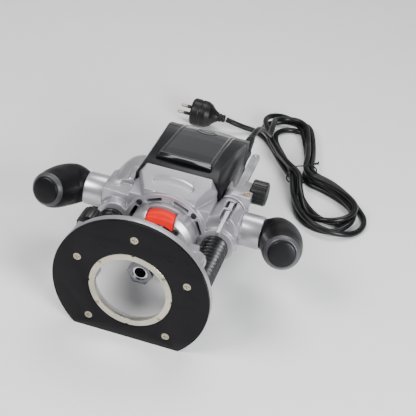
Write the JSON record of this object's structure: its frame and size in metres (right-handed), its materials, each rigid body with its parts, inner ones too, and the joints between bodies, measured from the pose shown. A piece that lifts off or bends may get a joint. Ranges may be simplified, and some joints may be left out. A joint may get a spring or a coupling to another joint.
{
  "type": "plunge router",
  "caption": "Corded two-handled plunge router lying on its back: motor on two sprung columns over a round base, depth stop, spindle lock, collet and tied cord.",
  "frame": {"origin": "middle of the router's length and width, on the plane it lies on", "axes": "+X to the right handle, +Y along the spindle from the sole to the motor's end, +Z out of the router's front, up as it lies"},
  "size_m": [0.3657, 0.531, 0.147],
  "materials": {
    "cast": "satin silver-grey paint on a light-alloy casting",
    "sole": "dark laminate with a soft sheen",
    "ring": "machined, slightly warm",
    "screw": "zinc-plated",
    "black_screw": "black oxide",
    "steel": "ground",
    "nut": "dark, machined",
    "rod": "mottled bright bar",
    "spring": "spring wire",
    "bellows": "folded rubber",
    "bronze": "sintered bronze",
    "brass": "turned brass",
    "black_gloss": "glossy moulding",
    "black_plastic": "satin moulding",
    "knob": "ribbed moulding",
    "grip": "soft-touch moulding",
    "band": "grey insert",
    "socket": "turned alloy",
    "red": "red moulding",
    "lamination": "stacked laminations",
    "copper": "copper",
    "carbon": "carbon",
    "fan": "moulded fan",
    "cord": "black rubber sheath",
    "plug": "moulded plug"
  },
  "bodies": {
    "base": {"base_casting": "cast", "sole_plate": "sole", "sole_screws": "screw", "bush_ring": "ring", "bush_ring_screws": "screw", "column_left": "steel", "column_right": "steel", "bellows_left": "bellows", "bellows_right": "bellows", "plunge_springs": "spring", "turret_pivot_screw": "screw"},
    "turret": {"depth_turret": "cast"},
    "guide_clamp_a": {"guide_clamp_left": "knob"},
    "guide_clamp_b": {"guide_clamp_right": "knob"},
    "carriage": {"carriage_casting": "cast", "nose_housing": "cast", "lower_bearing": "steel", "upper_bearing": "steel", "column_bushes": "bronze", "housing_screws": "black_screw", "motor_shell": "black_plastic", "end_cap": "black_plastic", "front_cover": "black_gloss", "stator_core": "lamination", "stator_windings": "copper", "brush_holders": "brass", "carbon_brushes": "carbon", "brush_caps": "black_plastic", "handle_socket_left": "socket", "handle_socket_right": "socket", "handle_grip_left": "grip", "handle_grip_right": "grip", "handle_bands": "band", "handle_cap_left": "black_plastic", "handle_cap_right": "black_plastic", "handle_bolts": "screw", "depth_guide": "cast", "guide_tension_screw": "brass", "lock_lever_screw": "screw", "lock_spring": "spring", "strain_relief": "cord", "cord": "cord", "cord_hank": "cord", "cord_tail": "cord", "cord_tie": "plug", "plug": "plug"},
    "rotor": {"armature_shaft": "steel", "collet": "steel", "collet_nut": "nut", "armature_core": "lamination", "armature_winding": "copper", "commutator": "copper", "cooling_fan": "fan"},
    "depth_rod": {"depth_rod": "rod"},
    "depth_clamp": {"depth_clamp_knob": "knob"},
    "lock_button": {"spindle_lock_button": "red", "spindle_lock_pin": "steel"},
    "lock_lever": {"plunge_lock_lever": "knob"},
    "switch": {"power_switch": "black_plastic"},
    "dial": {"speed_dial": "black_plastic"}
  },
  "joints": [
    {"name": "plunge", "type": "slide", "parent": "base", "child": "carriage", "axis": [0, -1, 0], "range_m": [0, 0.05], "stiffness_N_per_m": 450, "springref_m": -0.09, "deforming": ["bellows_left", "bellows_right", "plunge_springs"]},
    {"name": "spindle_spin", "type": "hinge", "parent": "carriage", "child": "rotor", "pos_m": [0, -0.0575, 0.062], "axis": [0, 1, 0], "continuous": true},
    {"name": "spindle_lock_press", "type": "slide", "parent": "carriage", "child": "lock_button", "axis": [0, 0, -1], "range_m": [0, 0.005], "stiffness_N_per_m": 700, "springref_m": -0.002, "deforming": ["lock_spring"]},
    {"name": "depth_rod_slide", "type": "slide", "parent": "carriage", "child": "depth_rod", "axis": [0, 1, 0], "range_m": [-0.038, 0.03]},
    {"name": "depth_clamp_turn", "type": "hinge", "parent": "carriage", "child": "depth_clamp", "pos_m": [0.09, 0.0365, 0.0955], "axis": [1, 0, 0], "range_deg": [0, 270]},
    {"name": "turret_turn", "type": "hinge", "parent": "base", "child": "turret", "pos_m": [0.055, -0.1175, 0.0975], "axis": [0, 1, 0], "range_deg": [-240, 0]},
    {"name": "guide_clamp_a_turn", "type": "hinge", "parent": "base", "child": "guide_clamp_a", "pos_m": [-0.062, -0.1075, 0.106], "axis": [0, 1, 0], "range_deg": [0, 360]},
    {"name": "guide_clamp_b_turn", "type": "hinge", "parent": "base", "child": "guide_clamp_b", "pos_m": [0.062, -0.1075, 0.018], "axis": [0, 1, 0], "range_deg": [0, 360]},
    {"name": "lock_lever_turn", "type": "hinge", "parent": "carriage", "child": "lock_lever", "pos_m": [-0.06, -0.0075, 0.038], "axis": [0, 0, 1], "range_deg": [-35, 30]},
    {"name": "switch_rock", "type": "hinge", "parent": "carriage", "child": "switch", "pos_m": [-0.047, 0.0775, 0.0735], "axis": [0, 0, 1], "range_deg": [0, 8]},
    {"name": "dial_turn", "type": "hinge", "parent": "carriage", "child": "dial", "pos_m": [0.039, 0.1285, 0.062], "axis": [0, 0, 1], "range_deg": [0, 270]}
  ]
}
